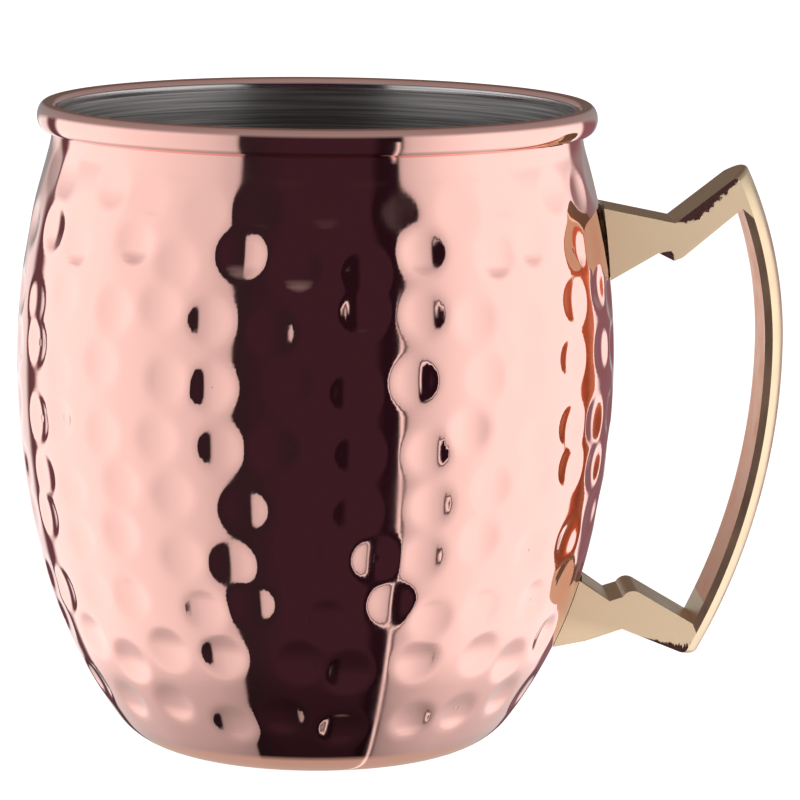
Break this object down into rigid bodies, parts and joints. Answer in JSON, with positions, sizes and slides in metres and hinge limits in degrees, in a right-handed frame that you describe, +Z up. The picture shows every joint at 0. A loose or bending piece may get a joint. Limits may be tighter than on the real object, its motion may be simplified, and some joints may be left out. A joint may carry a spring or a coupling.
{
  "type": "hammered copper mug",
  "caption": "Barrel-shaped hammered copper mug with a rolled rim, a steel-lined inside and an angular cast brass handle brazed to its side.",
  "frame": {"origin": "centre of the flat base, on the plane that the mug stands on", "axes": "+Z up along the body's axis, +X towards the handle"},
  "size_m": [0.1184, 0.092, 0.0996],
  "materials": {
    "copper": "hammered and polished copper, lacquered",
    "steel": "spun stainless steel with fine rings",
    "brass": "cast brass, ground satin",
    "braze": "dull filler metal"
  },
  "bodies": {
    "root": {"copper_shell": "copper", "steel_liner": "steel", "handle": "brass", "upper_braze": "braze", "lower_braze": "braze"}
  },
  "joints": []
}
